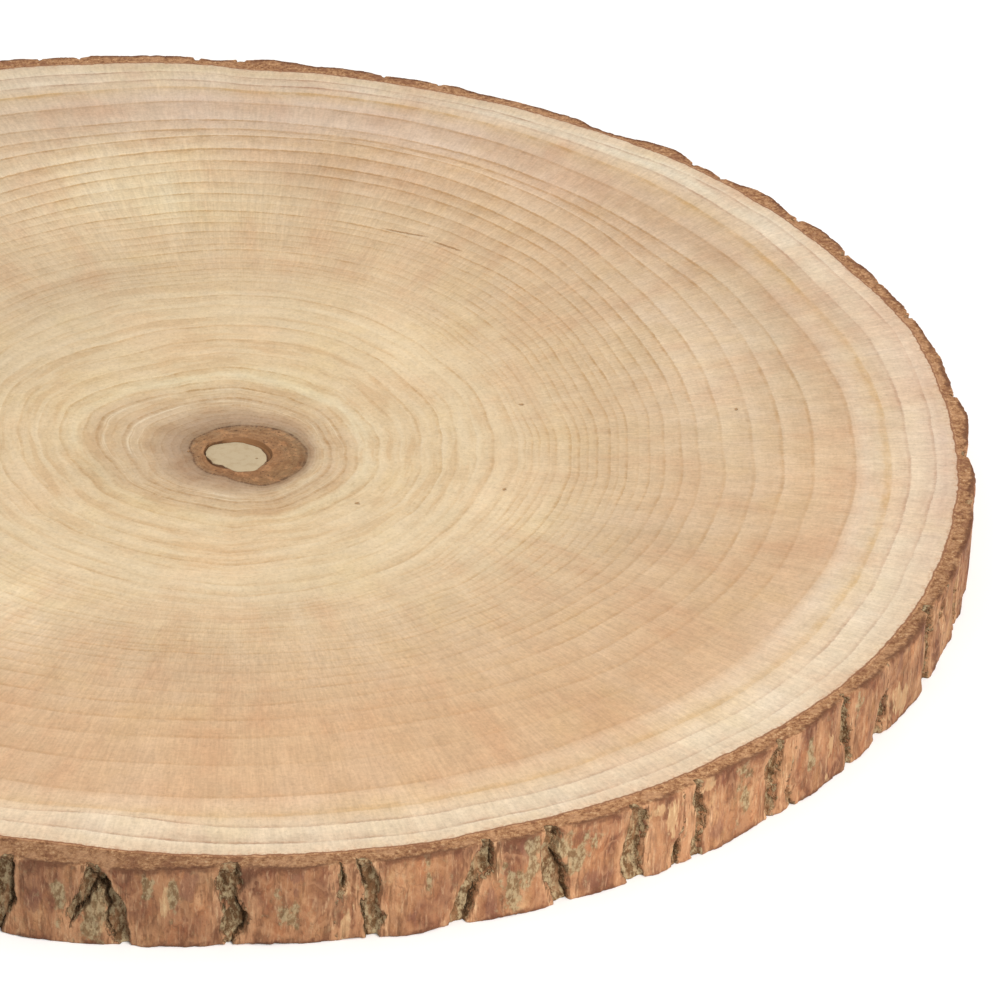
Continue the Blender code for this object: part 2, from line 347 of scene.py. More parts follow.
def furrow_fields(angle, z):
    """For each point of the rim: the depth cut away, the distance in mm to the edge of the nearest
    furrow floor (negative on the floor) and to the nearest crack.

    A floor drops over a steep wall, is rough with flakes, and has a narrow crack along its torn
    edges. Outside it, shoulders slope down to it.
    """
    shape = np.broadcast_shapes(angle.shape, z.shape)
    cut, gap, crack = np.zeros(shape), np.full(shape, FAR), np.full(shape, FAR)
    tears = layered(angle, z, TEARS)
    wider = 1 + WIDTH_SPREAD * rim_noise(angle, z, 3.5, 1.2, 24) + bells(angle, WIDE_FLOORS)
    flakes = rim_noise(angle, z, 1.5, 1.5, 31)
    flakes = FLAKE_HEIGHT * np.round(flakes * FLAKE_STEPS) / FLAKE_STEPS
    open_crack = rim_noise(angle, z, 5.0, 0.9, 33) + 0.3
    for furrow in FURROWS:
        limit = furrow.half_width + SHOULDER_WIDTH + abs(furrow.lean) / 2 + 3
        near = np.abs(angle_between(angle[0], furrow.angle)) * MEAN_RADIUS < limit
        offset = furrow_offset(furrow, angle[:, near], z)
        torn_offset = offset + tears[:, near]
        ends = end_share(furrow, z, AT_LOWER_FACE, AT_UPPER_FACE, OPEN_END_RUN)
        width = furrow.half_width * FLOOR_SHARE * ends * wider[:, near]
        share = end_share(furrow, z, FURROW_END_SHARE, FURROW_END_SHARE, FURROW_END_RUN)
        edge = np.abs(torn_offset) - width
        wall = smooth(0.5 - edge / FLOOR_EDGE)
        shoulder = smooth(1 - np.abs(offset) / (furrow.half_width + SHOULDER_WIDTH))
        side = np.sign(math.sin(furrow.sway_phase * 7))
        line = np.abs(torn_offset - side * np.maximum(width - CRACK_INSET, 0))
        line = np.where((open_crack[:, near] > 0) & (width > 0.2), line, FAR)
        depth = share * (wall * furrow.depth * WALL_SHARE + SHOULDER_DEPTH * shoulder)
        depth = depth + wall * share * flakes[:, near]
        depth = depth + share * CRACK_DEPTH * smooth(1.4 - line / CRACK_HALF_WIDTH)
        cut[:, near] = np.maximum(cut[:, near], depth)
        gap[:, near] = np.minimum(gap[:, near], edge)
        crack[:, near] = np.minimum(crack[:, near], line)
    return np.maximum(cut, 0), gap, crack


# %% The bark's surface
RELIEFS = ((8.0, 1.5, 0.16, 41), (2.2, 2.6, 0.09, 42), (0.75, 7.0, 0.06, 43), (0.5, 1.2, 0.03, 44))
RELIEF_TOP = 0.34
# Thin scales that have flaked off in steps: noise, whose whole levels are the steps.
SCALES = ((5.5, 1.6, 1.0, 61), (1.6, 2.0, 0.3, 62), (0.5, 2.5, 0.12, 63))
SCALE_STEPS = 1.6
SCALE_HEIGHT = 0.13
SCALE_TOP = 0.26
# How light the bark is every 15 degrees: partly its own tone, partly painted shade, darkest at 240 to
# 270 degrees where the rim turns from the lamp.
BARK_TONES_AND_SHADE = (
    1.0, 1.0, 1.0, 1.0, 0.98, 0.96, 0.98, 1.0, 1.02, 1.0, 0.96, 0.94,
    0.98, 1.0, 0.98, 0.92, 0.84, 0.76, 0.76, 0.92, 1.04, 1.0, 0.88, 0.94,
)
BARK_LEAST = 1.2
EDGE_ROUND = 0.4
EDGE_CHIPS = ((1.7, 0.4, 45), (8.0, 0.9, 48))
BAND_GRAIN = 0.05
BAND_FADE = 2.5
# Single plates: direction and half their width in degrees, and how far they stand out or in, in mm.
PLATES = (
    (29.5, 1.3, 0.7), (36.5, 1.6, 0.8), (46.5, 1.2, 0.7), (53.0, 4.0, 0.9), (66.5, 1.5, 0.6),
    (83.0, 1.5, 0.3), (86.8, 1.3, -1.4), (92.5, 1.5, -0.6), (97.0, 1.0, 0.9), (102.5, 1.5, 0.7),
)
# Patches on the bark: direction in degrees, height, half width and half height in mm.
BARK_PATCHES = {
    "grey": (
        (-97.7, 10.5, 1.4, 4.5), (-95.4, 8.0, 2.6, 8.0), (-92.1, 13.0, 1.4, 3.4),
        (-90.4, 11.5, 0.9, 4.5), (-83.0, 8.0, 2.0, 4.0), (-74.3, 13.5, 1.0, 4.0),
        (-68.8, 7.5, 2.2, 4.5), (-67.4, 13.5, 1.2, 4.0), (-65.0, 14.0, 2.4, 3.6),
        (-64.1, 10.0, 2.8, 4.6), (-51.2, 10.5, 2.4, 5.5), (-44.6, 11.0, 1.0, 4.0),
        (-38.9, 13.5, 1.4, 3.0), (-22.0, 5.0, 1.6, 3.0),
    ),
    "pale": (
        (-94.9, 4.0, 1.4, 1.6), (-90.9, 9.5, 1.2, 2.8), (-79.6, 9.0, 1.4, 5.0),
        (-57.1, 12.0, 1.5, 5.0), (-58.4, 14.5, 2.0, 1.8), (-54.3, 15.5, 2.0, 2.8),
        (-42.2, 9.0, 0.9, 6.0), (-32.6, 6.0, 3.0, 4.0),
    ),
    "dark": (
        (-99.2, 9.0, 1.6, 3.2), (-96.6, 9.0, 1.4, 3.5), (-89.6, 14.0, 1.6, 4.0),
        (-82.8, 12.6, 1.6, 2.6), (-75.2, 5.0, 1.4, 4.0), (-69.9, 5.0, 1.2, 4.5),
        (-67.9, 15.6, 1.6, 1.8), (-62.8, 4.0, 2.6, 2.6), (-59.2, 11.0, 2.0, 5.0),
        (-53.1, 9.0, 2.2, 6.0), (-46.0, 14.0, 1.4, 4.0), (-39.2, 8.5, 1.8, 4.0),
        (-33.5, 14.0, 1.6, 3.5),
    ),
}
PATCH_EDGES = ((2.6, 1.6, 0.8, 65), (1.0, 2.0, 0.48, 66))
PATCH_SEED = 64
PATCH_STEPS = (2.0, 7.5)
PATCH_HALF_WIDTHS = (0.9, 2.6)
PATCH_STRETCH = (1.4, 2.8)
PATCH_HEIGHTS = (2, 16)
# The seeded patches begin and end where the ones in sight end and begin, in degrees.
PATCH_START = -20.0
PATCH_STOP = 256


def all_patches():
    """The patches of each kind: those placed one by one, and a seeded draw for the rest of the rim."""
    kinds = {kind: list(patches) for kind, patches in BARK_PATCHES.items()}
    draw = random.Random(PATCH_SEED)
    angle = PATCH_START
    while angle < PATCH_STOP:
        half_width = draw.uniform(*PATCH_HALF_WIDTHS)
        half_height = half_width * draw.uniform(*PATCH_STRETCH)
        patches = draw.choice(list(kinds.values()))
        patches.append((angle, draw.uniform(*PATCH_HEIGHTS), half_width, half_height))
        angle += draw.uniform(*PATCH_STEPS)
    return kinds


def patch_field(patches, angle, z):
    """How strongly each point lies in a patch: 1 in its middle, 0 from its edge on, where the edge of
    each ellipse strays with noise."""
    stray = layered(angle, z, PATCH_EDGES)
    field = np.zeros(np.broadcast_shapes(angle.shape, z.shape))
    for middle, height, half_width, half_height in patches:
        near = np.abs(angle_between(angle[0], middle * DEGREE)) * MEAN_RADIUS < 2.5 * half_width + 2
        along = angle_between(angle[:, near], middle * DEGREE) * MEAN_RADIUS / half_width
        away = np.hypot(along, (z - height) / half_height)
        field[:, near] = np.maximum(field[:, near], np.clip(1.3 - away + stray[:, near], 0, 1))
    return field


def bark_grid():
    """The bark's grid of points, row by row round the closed cross-section, and its attributes.

    Rim rows: the solid's rim without its furrows, less the furrow fields, less fine relief that only
    takes away, less a rounded and chipped edge. Band rows: from the wood's edge to the rim's edge,
    just under the wood's face, with grain.
    """
    z = rim_heights[:, None]
    cut, gap, crack = furrow_fields(bark_angle, z)
    relief = layered(bark_angle, z, RELIEFS)
    scales = layered(bark_angle, z, SCALES) * SCALE_STEPS
    chips = EDGE_ROUND
    for cell, size, seed in EDGE_CHIPS:
        chips = chips + size * np.maximum(rim_noise(bark_angle, z * 0, cell, 1.0, seed), 0)
    edge = np.minimum(z, THICKNESS - z)
    rounding = chips * (1 - np.sqrt(1 - (1 - np.clip(edge / chips, 0, 1)) ** 2))
    outer = full_rim(bark_angle, z) + bells(bark_angle, PLATES)
    radius = outer - cut - rounding - (RELIEF_TOP - relief)
    radius = radius - np.clip(SCALE_TOP - SCALE_HEIGHT * np.round(scales), 0, None)
    wood = wood_edge(bark_angle)
    radius = np.maximum(radius, wood + BARK_LEAST)
    patches = {kind: patch_field(rows, bark_angle, z) for kind, rows in all_patches().items()}
    rim = {"radius": radius, "z": z + 0 * radius, "gap": gap, "crack": crack, "scales": scales, **patches}
    rim.update(from_wood=radius - wood, from_edge=0 * radius - edge)
    share = np.linspace(0, 1, BAND_ROWS + 1)[:-1, None]
    bands = []
    for row, face, up in ((0, 0.0, 1), (-1, THICKNESS, -1)):
        grain = rim_noise(bark_angle, share * 6, 0.6, 1.0, 46 + row) * BAND_GRAIN
        band_radius = wood + (radius[row] - wood) * share
        inwards = radius[row] - band_radius
        bands.append({
            **{key: values[row] + 0 * share for key, values in rim.items()},
            **{key: rim[key][row] + BAND_FADE * inwards for key in ("gap", "crack")},
            "radius": band_radius,
            "z": face + up * (BARK_SINK + grain * (share > 0)),
            "from_wood": band_radius - wood,
            "from_edge": inwards,
        })
    lower, upper = bands
    whole = {key: np.concatenate([lower[key], rim[key], upper[key][::-1]]) for key in rim}
    whole["tone_and_shade"] = around(BARK_TONES_AND_SHADE, bark_angle) + 0 * whole["radius"]
    return whole


bark = bark_grid()
thinnest = bark["from_wood"][BAND_ROWS + 1:-BAND_ROWS - 1].min()
print("bark grid:", bark["radius"].shape, "thinnest", round(float(thinnest), 2), "mm")

# %% [markdown]
# ## From arrays to meshes
#
# Both pieces are grids, so one helper makes every mesh: points, faces and attributes as whole arrays.
# The bark is split into three lengths to keep each mesh light, and each length is closed at its ends.
# Its normals are worked out on the whole ring first, so that no seam shows between the lengths.

# %% Mesh helpers
LAYERS = {1: ("FLOAT", "value"), 3: ("FLOAT_VECTOR", "vector"), 4: ("FLOAT_COLOR", "color")}


def added(name, data):
    """An object with its data, linked to the scene."""
    made = bpy.data.objects.new(name, data)
    bpy.context.scene.collection.objects.link(made)
    return made


def new_piece(name, points, quads, others=(), normals=None, attributes=None):
    """A mesh object at the origin from points in mm, faces with four corners, and other faces."""
    mesh = bpy.data.meshes.new(name)
    faces = quads.tolist() + [list(face) for face in others]
    mesh.from_pydata((points * MM).tolist(), [], faces)
    mesh.polygons.foreach_set("use_smooth", np.ones(len(mesh.polygons), bool))
    for key, values in (attributes or {}).items():
        kind, field = LAYERS[values.shape[1] if values.ndim > 1 else 1]
        layer = mesh.attributes.new(key, kind, "POINT")
        layer.data.foreach_set(field, values.astype(np.float32).ravel())
    if normals is not None:
        mesh.normals_split_custom_set_from_vertices(normals.astype(float).tolist())
    print(name, len(mesh.vertices), "points,", len(mesh.polygons), "faces")
    return added(name, mesh)


def grid_quads(rows, columns):
    """Corner numbers of the faces of a grid that is open both ways, numbered row by row."""
    corner = np.arange(rows - 1)[:, None] * columns + np.arange(columns - 1)
    return np.stack([corner, corner + 1, corner + columns + 1, corner + columns], -1).reshape(-1, 4)


def placed(radius, angle, z):
    """Points in mm from a radius and an angle about the wood's middle, and a height."""
    return np.stack([radius * np.cos(angle) + SHIFT[0], radius * np.sin(angle) + SHIFT[1], z], -1)


# %% The bark in three lengths
def bark_pieces():
    """Cuts the closed grid into lengths. Each is a grid whose cross-section closes on itself, with a
    face at each end. A normal is the cross product of the grid's two directions."""
    points = placed(bark["radius"], bark_angle, bark["z"])
    along = np.roll(points, -1, 1) - np.roll(points, 1, 1)
    up = np.roll(points, -1, 0) - np.roll(points, 1, 0)
    normals = np.cross(along, up)
    normals = normals / np.linalg.norm(normals, axis=-1, keepdims=True)
    rows = len(points)
    step = BARK_COLUMNS // BARK_PIECES
    count = step + 1
    last = grid_quads(2, count)
    last = np.where(last >= count, last - count, last + (rows - 1) * count)
    quads = np.concatenate([grid_quads(rows, count), last])
    start = np.arange(rows) * count
    ends = (start.tolist(), (start + count - 1)[::-1].tolist())
    made = []
    for number in range(BARK_PIECES):
        columns = np.arange(number * step, number * step + count) % BARK_COLUMNS
        fields = {key: bark[key][:, columns].ravel() for key in bark if key not in ("radius", "z")}
        corners, facing = (array[:, columns].reshape(-1, 3) for array in (points, normals))
        made.append(new_piece(f"bark_{number + 1}", corners, quads, ends, facing, fields))
    return made


barks = bark_pieces()

# %% [markdown]
# ## The wood's growth rings
#
# A ring ends each year in a thin line of dense late wood. Concentric circles from a wave texture look
# like a target, because real rings squeeze together and swell apart. So the rings are drawn by the
# mesh: each row of points on the face is one ring line or lies between two, and bends as the tree
# grew. The rows carry the count of rings, and the material draws a line where the count is whole.

# %% Polar coordinates about the pith
PITH = np.array([12.7, -17.6])
PITH_RADIUS = 6.8
PITH_PULLS = ((2, 0.06, -0.9), (3, 0.05, 1.2))
PITH_SHARE = 0.04
# The pale floor of the pith: its radius in mm every 30 degrees. Where it stays inside the hollow's
# edge, a crevice is left, which the material darkens with painted shade.
FLOOR_RADII = (5.7, 5.2, 5.1, 5.3, 5.9, 7.2, 7.1, 6.3, 5.6, 7.3, 7.2, 6.3)
CREVICE_LEAST = 0.35
REACH_STEPS = 40
REACH_PACE = 0.7


def pith_floor(angle):
    """The radius of the pale floor of the pith, with a fine ragged edge."""
    ragged = rim_noise(angle, 0 * angle, 50.0, 1.0, 71) * 0.25
    return around(FLOOR_RADII, angle) + ragged


def pith_radius(angle):
    """The hollow's radius about its own centre: a circle pulled into a slightly irregular oval, and
    never less than the floor with a narrow crevice around it."""
    pulls = sum(share * np.cos(n * angle + phase) for n, share, phase in PITH_PULLS)
    return np.maximum(PITH_RADIUS * (1 + pulls), pith_floor(angle) + CREVICE_LEAST)


def reach(angle, outline=wood_radius):
    """From the pith to an outline in each direction, by stepping to where the outline is."""
    far = np.full(angle.shape, MEAN_RADIUS)
    for _ in range(REACH_STEPS):
        x = PITH[0] + far * np.cos(angle)
        y = PITH[1] + far * np.sin(angle)
        far = far + REACH_PACE * (outline(np.arctan2(y, x)) - np.hypot(x, y))
    return far


# %% How the rings bend
# A swelling, a flat, a dent, a knot and a dip push the rings, each over a bell round the pith: its
# direction and its half width clockwise and counter-clockwise in degrees, then shares of the way to
# the bark and the push there.
BENDS = (
    (76, 30, 34,
     (0.10, 0.19, 0.28, 0.35, 0.46, 0.54, 0.61, 0.66, 0.72, 0.76, 0.80, 0.86, 0.91, 0.93, 0.967),
     (0, 0.01, 0.03, 0.037, 0.045, 0.065, 0.1, 0.102, 0.094, 0.068, 0.048, 0.043, 0.033, 0.023, 0)),
    (-88, 34, 34,
     (0.20, 0.35, 0.42, 0.50, 0.54, 0.59, 0.67, 0.72, 0.76, 0.80, 0.86, 0.91, 0.967),
     (0, 0.028, 0.014, 0.004, -0.01, -0.017, -0.022, -0.030, -0.028, -0.004, 0.018, 0.012, 0)),
    (-100, 6, 6, (0.86, 0.905, 0.93, 0.967), (0, -0.005, -0.016, 0)),
    (152, 26, 26, (0.06, 0.09, 0.124, 0.15, 0.19, 0.25, 0.40), (0, 0.004, 0.012, 0.028, 0.028, 0.018, 0)),
    (15, 18, 18, (0.09, 0.12, 0.15, 0.20), (0, -0.007, -0.007, 0)),
)
# The outline of the brown core as a share of the way to the bark, every 15 degrees.
CORE_SHARE = 0.076
CORE_OUTLINE = (
    0.089, 0.087, 0.084, 0.080, 0.075, 0.071, 0.068, 0.066, 0.064, 0.061, 0.058, 0.056,
    0.055, 0.056, 0.057, 0.059, 0.061, 0.063, 0.069, 0.080, 0.087, 0.090, 0.091, 0.090,
)
CORE_WEIGHTS = ((0.04, 0), (CORE_SHARE, 1), (0.118, 0))
# How far inside the wood's edge the outermost strong ring lies, in mm, every 15 degrees.
LAST_SHARE = 0.967
LAST_DEPTHS = (
    4.1, 3.6, 3.1, 3.2, 4.4, 3.6, 3.8, 5.0, 5.0, 4.8, 5.0, 5.0,
    5.0, 5.0, 5.0, 5.0, 5.2, 4.9, 3.1, 3.1, 3.6, 3.6, 4.6, 5.5,
)
LAST_WEIGHTS = ((0.90, 0), (LAST_SHARE, 1), (1, 0))
WOBBLE_SEED = 8
WOBBLE_WAVES = (4, 6, 9, 13, 18, 25, 34)
WOBBLE_SIZE = 0.004
WOBBLE_DRIFT = 30.0
CALM_INSIDE = 0.25
CALM_OUTSIDE = 0.06


def weighted(share, stops):
    """A value along the way to the bark from pairs of share and value, with straight lines between."""
    return np.interp(share, [stop[0] for stop in stops], [stop[1] for stop in stops])


def bent(angle, share):
    """Where a ring lies in a direction, as a share of the way to the bark: its own share, plus the
    pushes of the bends, plus the outlines of the core and of the last ring, plus a small wobble of
    cosine waves that drifts from ring to ring."""
    moved = share
    for middle, clockwise, counter, shares, pushes in BENDS:
        half_width = np.where(angle_between(angle, middle * DEGREE) < 0, clockwise, counter)
        moved = moved + np.interp(share, shares, pushes) * bump(angle, middle, half_width)
    core = around(CORE_OUTLINE, angle) - CORE_SHARE
    last = 1 - around(LAST_DEPTHS, angle) / reach(angle) - LAST_SHARE
    moved = moved + weighted(share, CORE_WEIGHTS) * core + weighted(share, LAST_WEIGHTS) * last
    draw = random.Random(WOBBLE_SEED)
    calm = smooth(share / CALM_INSIDE) * smooth((1 - share) / CALM_OUTSIDE)
    for waves in WOBBLE_WAVES:
        phase, drift = draw.uniform(0, TURN), draw.uniform(-WOBBLE_DRIFT, WOBBLE_DRIFT)
        size = WOBBLE_SIZE * 4 / (waves + 4)
        moved = moved + calm * size * np.cos(waves * angle + phase + drift * share)
    return moved


# %% The ring lines
BROWN = (0.77, 0.65, 0.50)
OCHRE = (0.84, 0.72, 0.50)
PINK = (0.64, 0.50, 0.45)
DARK = (0.50, 0.38, 0.28)
OUTLINE = (0.26, 0.19, 0.14)
# Ring lines by colour: the share of the way to the bark, the width in mm and the strength.
RINGS = (
    (DARK, (0.040, 0.3, 0.0), (0.052, 0.3, 0.35), (0.063, 0.3, 0.35)),
    (OUTLINE, (0.076, 0.5, 1.0)),
    (BROWN, (0.083, 0.3, 0.6), (0.090, 0.3, 0.5), (0.097, 0.3, 0.6), (0.105, 0.35, 0.5),
     (0.113, 0.45, 0.8), (0.127, 0.7, 1.0), (0.136, 0.45, 0.5), (0.148, 0.7, 1.0), (0.162, 0.6, 0.5),
     (0.190, 0.7, 0.6), (0.220, 0.6, 0.35), (0.250, 0.7, 0.5), (0.280, 0.6, 0.7), (0.300, 0.6, 0.35),
     (0.325, 0.7, 0.3), (0.348, 0.7, 0.6), (0.380, 0.5, 0.4), (0.390, 0.5, 0.4), (0.400, 0.5, 0.5),
     (0.410, 0.5, 0.5), (0.424, 0.6, 0.5), (0.434, 0.5, 0.4), (0.456, 0.6, 0.7), (0.469, 0.6, 0.5),
     (0.482, 0.5, 0.4), (0.496, 0.6, 0.6), (0.515, 0.6, 0.6), (0.527, 0.5, 0.4), (0.539, 0.6, 0.8),
     (0.555, 0.5, 0.3), (0.570, 0.6, 0.6), (0.590, 0.7, 0.6), (0.614, 0.7, 0.7), (0.638, 0.7, 0.8),
     (0.674, 0.8, 0.9), (0.718, 0.8, 0.8), (0.759, 0.9, 0.9), (0.800, 0.8, 0.8), (0.855, 0.9, 0.7)),
    (OCHRE, (0.905, 1.6, 0.85)),
    (PINK, (0.932, 0.6, 0.8), (0.967, 0.6, 0.9), (1.000, 0.3, 0.4)),
)
rings = np.array([(*ring, *colour) for colour, *alike in RINGS for ring in alike])
ring_shares = rings[:, 0]
print(len(rings), "ring lines")

# %% The rows of the face
WOOD_COLUMNS = 464
WIDEST_ROW = 0.02
WOOD_LAP = 1.0
EDGE_SHIFT = 0.5
STRAY_SHARE = 0.80
# Rows of the pith up to its hollow's edge: how far from the floor's edge to the hollow's edge they lie
# where above 0, or how much of the floor's radius they leave out where below 0, and their depth in mm.
PITH_ROWS = (
    (-0.75, 0.3), (-0.5, 0.25), (-0.25, 0.25), (-0.08, 0.3), (0.0, 0.4), (0.3, 0.75), (0.7, 0.65),
    (0.92, 0.2), (1.0, 0.0),
)


def face_shares():
    """One row on each ring line, and between two lines as many as keep rows closer than the widest."""
    rows = []
    for near, far in zip(ring_shares, ring_shares[1:]):
        steps = max(2, math.ceil((far - near) / WIDEST_ROW))
        rows.extend(near + (far - near) * k / steps for k in range(steps))
    return np.array(rows + [1.0])


def soft_patch(angle, share, middle, half_angle, ring, half_share):
    """A soft-edged patch on the face: a bell in direction times a bell along the way to the bark."""
    return bump(angle, middle, half_angle) * 0.5 ** (((share - ring) / half_share) ** 2)


# %% The tint of the wood, patch by patch
# Direction and half its width in degrees, share and half its width, then the gain in red, green and
# blue, or one gain for all three.
PATCHES = (
    (90, 40, 0.93, 0.13, (0.92, 0.91, 0.90)), (12, 16, 0.97, 0.04, (0.97, 0.93, 0.96)),
    (-25, 22, 0.92, 0.05, (1.02, 1.04, 1.07)), (22, 18, 0.68, 0.08, (1.04, 1.11, 1.22)),
    (-80, 40, 0.78, 0.13, (1.00, 0.95, 0.88)), (52, 20, 0.80, 0.10, (1.00, 1.00, 1.03)),
    (-70, 40, 0.95, 0.04, (1.00, 1.04, 1.08)), (85, 18, 0.82, 0.08, (1.03, 1.13, 1.33)),
    (85, 20, 0.70, 0.05, (1.03, 1.07, 1.10)), (-40, 25, 0.79, 0.04, (0.95, 0.94, 0.92)),
    (25, 16, 0.80, 0.04, (1.00, 1.07, 1.11)), (-10, 32, 0.88, 0.02, (1.04, 1.14, 1.26)),
    (25, 14, 0.92, 0.012, (0.87, 0.86, 0.86)), (55, 16, 0.955, 0.015, (1.06, 1.18, 1.28)),
    (-5, 14, 0.985, 0.015, (0.93, 0.90, 0.94)), (-35, 18, 0.43, 0.08, (1.04, 1.08, 1.11)),
    (-95, 38, 0.052, 0.010, (0.80, 0.71, 0.62)), (-45, 42, 0.065, 0.012, (0.84, 0.80, 0.70)),
    (42, 28, 0.073, 0.008, (1.06, 1.10, 1.08)), (-34, 40, 0.098, 0.011, (1.24, 1.34, 1.34)),
    (-20, 50, 0.117, 0.007, (1.04, 1.07, 1.08)), (10, 28, 0.062, 0.012, (0.84, 0.84, 0.82)),
    (-80, 32, 0.14, 0.02, (0.94, 0.91, 0.87)), (-80, 30, 0.172, 0.012, (0.97, 0.94, 0.91)),
    (40, 60, 0.175, 0.015, (1.02, 1.06, 1.11)), (85, 20, 0.56, 0.05, (1.04, 1.09, 1.11)),
    (55, 16, 0.88, 0.02, (0.95, 0.93, 0.90)), (-25, 30, 0.985, 0.015, (0.95, 0.94, 0.93)),
    (88, 14, 0.985, 0.012, (0.93, 0.93, 0.88)), (-130, 9, 0.50, 0.09, 1.22),
    (-98, 8, 0.28, 0.04, 1.07), (-96, 8, 0.57, 0.04, 0.93), (-82, 7, 0.37, 0.05, 0.95),
    (-22, 8, 0.40, 0.05, 1.08), (-22, 7, 0.60, 0.06, 0.92), (-4, 5, 0.79, 0.05, 1.09),
    (20, 9, 0.67, 0.05, 1.09), (34, 16, 0.85, 0.04, 0.92), (52, 10, 0.33, 0.05, 1.08),
    (68, 8, 0.74, 0.05, 1.11), (82, 7, 0.37, 0.05, 0.94), (83, 6, 0.61, 0.06, 0.91),
    (105, 14, 0.63, 0.11, 1.17), (116, 16, 0.40, 0.06, 0.88), (142, 16, 0.30, 0.07, 0.93),
    (-162, 16, 0.17, 0.03, 0.91), (116, 14, 0.74, 0.20, (0.97, 1.08, 1.15)),
    (98, 8, 0.60, 0.08, (0.99, 1.08, 1.09)), (-136, 14, 0.50, 0.09, (1.00, 1.10, 1.20)),
    (-150, 26, 0.178, 0.012, (0.97, 0.92, 0.86)), (108, 16, 0.155, 0.025, (1.03, 1.07, 1.08)),
    (80, 10, 0.65, 0.05, (0.98, 0.94, 0.93)), (15, 40, 0.70, 0.20, (0.99, 1.02, 1.02)),
)
# The same for how much stronger or weaker the ring lines are there than elsewhere.
LINE_PATCHES = (
    (72, 36, 0.70, 0.17, 1.1), (0, 50, 0.48, 0.14, 0.5), (100, 60, 0.20, 0.08, 0.5),
    (30, 15, 0.52, 0.03, 0.4), (-112, 15, 0.53, 0.04, 0.5), (112, 22, 0.56, 0.16, 0.5),
    (-95, 12, 0.967, 0.02, 0.6), (-35, 15, 0.84, 0.04, -0.5), (-60, 20, 0.80, 0.04, -0.5),
    (5, 15, 0.66, 0.04, -0.4), (-85, 40, 0.66, 0.18, -0.35), (-20, 30, 0.70, 0.10, -0.2),
)
LINES_LEAST = 0.2
NUDGE = 0.002


def face_fields(angle, share):
    """What the material reads from the face: the count of ring lines, the mm between them, the
    strength, width and colour of the nearest line, the tint, and a direction for grain and rays."""
    width, strength, *line = (np.interp(share, ring_shares, values) for values in rings[:, 1:].T)
    spacing = np.interp(share, (ring_shares[1:] + ring_shares[:-1]) / 2, np.diff(ring_shares))
    stretch = (bent(angle, share + NUDGE) - bent(angle, share - NUDGE)) / (2 * NUDGE)
    shown = 1.0
    for *patch, gain in LINE_PATCHES:
        shown = shown + gain * soft_patch(angle, share, *patch)
    one = np.ones(share.shape)
    tint = np.ones(share.shape + (3,))
    for *patch, gain in PATCHES:
        tint = tint * (1 + soft_patch(angle, share, *patch)[..., None] * (np.array(gain) - 1))
    return {
        "share": share,
        "ring": np.interp(share, ring_shares, np.arange(len(rings), dtype=float)),
        "spacing": spacing * stretch * reach(angle),
        "strength": strength * np.maximum(shown, LINES_LEAST),
        "width": width,
        "line": np.stack([*line, one], -1),
        "tint": np.concatenate([tint, one[..., None]], -1),
        "grain": np.stack([np.cos(angle) * one, np.sin(angle) * one, share], -1),
    }


# %% The disc of wood
LAP_DROP = 0.05
SHARP_ANGLE = 40 * DEGREE


def wood_disc():
    """A closed disc: rows of points from the pith out over the upper face and back over the lower
    face, each face ending in a point at the pith's middle. The last row laps over the bark a little,
    so that the material can draw the ragged line between the two."""
    angle = (np.arange(WOOD_COLUMNS) * TURN / WOOD_COLUMNS)[None, :]
    far, smooth_far = reach(angle, wood_edge), reach(angle)
    core, floor = pith_radius(angle), pith_floor(angle)
    place, depth = np.array(PITH_ROWS).T[..., None]
    core_radius = np.where(place < 0, floor * (1 + place), floor + (core - floor) * place)
    core_share = PITH_SHARE * core_radius / core
    outer = face_shares()[1:, None] + 0 * angle
    stray = (far - smooth_far) * smooth((outer - STRAY_SHARE) / (1 - STRAY_SHARE))
    outer_radius = core + (bent(angle, outer) - PITH_SHARE) / (1 - PITH_SHARE) * (smooth_far - core) + stray
    outer_radius[-1] = far[0]
    share = np.concatenate([core_share, outer, outer[-1:]])
    radius = np.concatenate([core_radius, outer_radius, far + WOOD_LAP])
    print("narrowest step between rows:", round(float(np.diff(radius, axis=0).min()), 3), "mm")
    drop = np.concatenate([depth + 0 * angle, 0 * outer, 0 * far + LAP_DROP])
    x = PITH[0] + radius * np.cos(angle) + SHIFT[0]
    y = PITH[1] + radius * np.sin(angle) + SHIFT[1]
    rows = np.concatenate([np.stack([x, y, THICKNESS - drop], -1), np.stack([x, y, drop], -1)[::-1]])
    poles = [[*(PITH + SHIFT), z] for z in (THICKNESS - PITH_ROWS[0][1], PITH_ROWS[0][1])]
    points = np.concatenate([rows.reshape(-1, 3), poles])
    columns = WOOD_COLUMNS
    j = np.arange(columns)
    following = (j + 1) % columns
    start = np.arange(len(rows) - 1)[:, None] * columns
    quads = np.stack([start + j, start + columns + j, start + columns + following, start + following], -1)
    last = (len(rows) - 1) * columns
    top, bottom = len(points) - 2, len(points) - 1
    fans = [(top, int(a), int(b)) for a, b in zip(j, following)]
    fans += [(bottom, last + int(b), last + int(a)) for a, b in zip(j, following)]
    fields = {}
    here = face_fields(angle, share)
    here.update(inside=far - radius, from_floor=radius - floor, from_hollow=radius - core)
    for key, values in here.items():
        values = np.broadcast_to(values, share.shape + values.shape[2:])
        both = np.concatenate([values, values[::-1]]).reshape((-1,) + values.shape[2:])
        pole_value = values[:1, 0] if key != "grain" else np.zeros((1, 3))
        fields[key] = np.concatenate([both, pole_value, pole_value])
    made = new_piece("wood", points, quads.reshape(-1, 4), fans, None, fields)
    made.data.set_sharp_from_angle(angle=SHARP_ANGLE)
    return made


wood = wood_disc()

